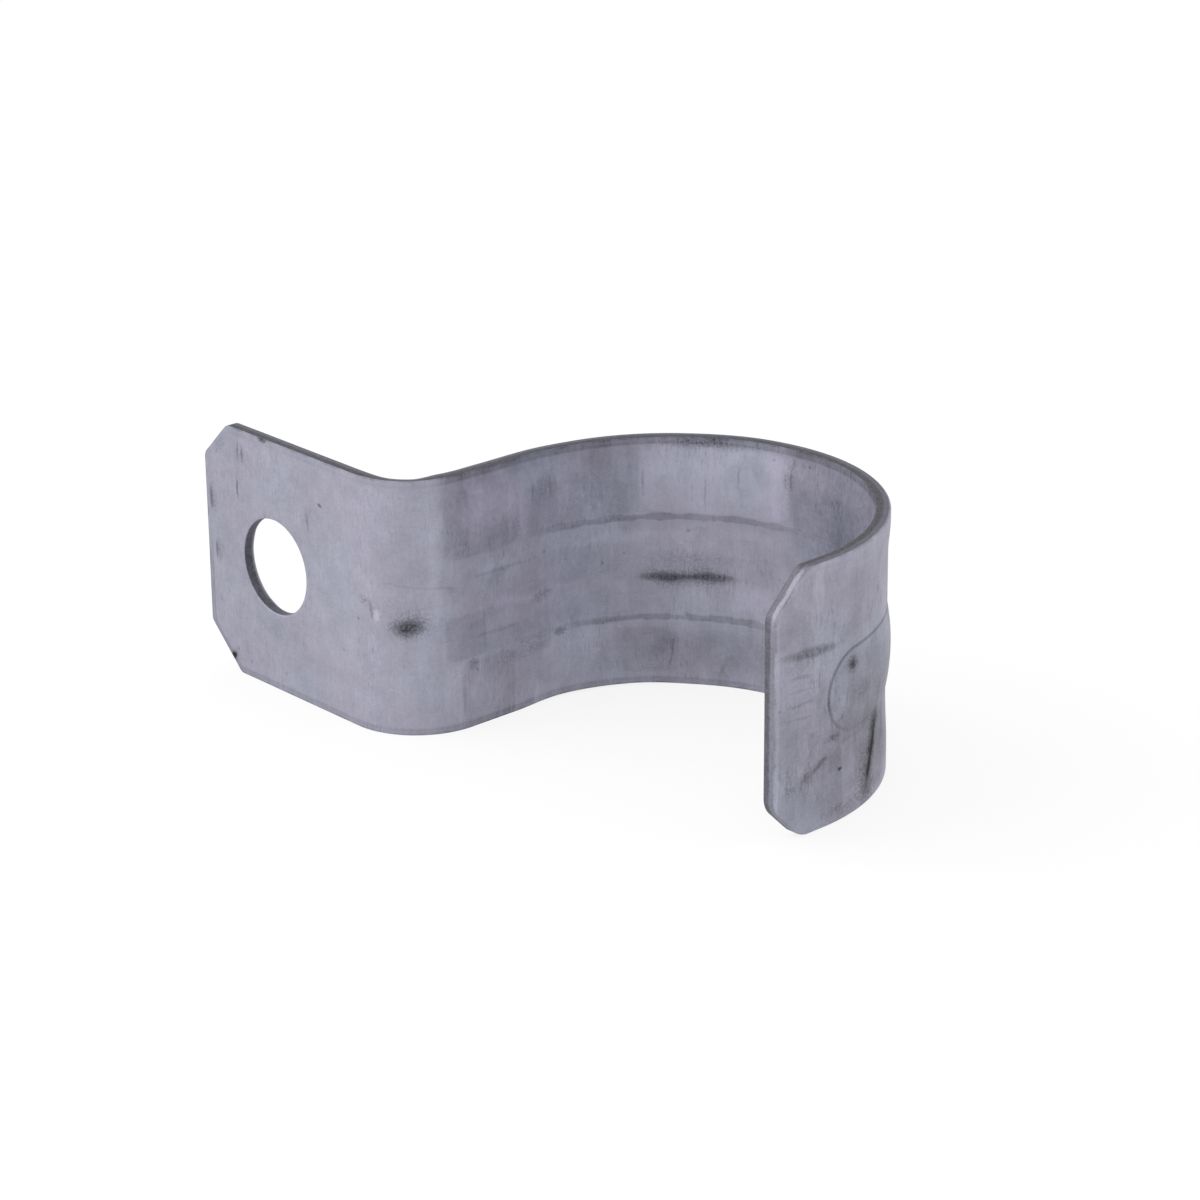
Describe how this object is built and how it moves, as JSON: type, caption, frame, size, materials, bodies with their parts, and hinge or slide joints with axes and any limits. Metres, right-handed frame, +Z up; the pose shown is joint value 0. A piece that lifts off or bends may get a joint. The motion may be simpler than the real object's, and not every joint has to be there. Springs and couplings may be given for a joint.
{
  "type": "conduit strap",
  "caption": "One-hole conduit strap: a beaded sheet-steel strip folded into a screw-down foot and a half-round seat that clips over a conduit, with clipped corners.",
  "frame": {"origin": "on the axis of the half-round conduit seat, level with the long edge that the strap stands on", "axes": "+Z up and along the conduit axis, across the strip; +X from the foot's free end towards the seat; -Y towards the wall that the foot is screwed to"},
  "size_m": [0.0692, 0.0359, 0.0254],
  "materials": {
    "zinc_coated_steel": "dull zinc-coated cold-rolled steel, with handling scuffs and bare sheared edges"
  },
  "bodies": {
    "root": {"conduit_strap": "zinc_coated_steel"}
  },
  "joints": []
}
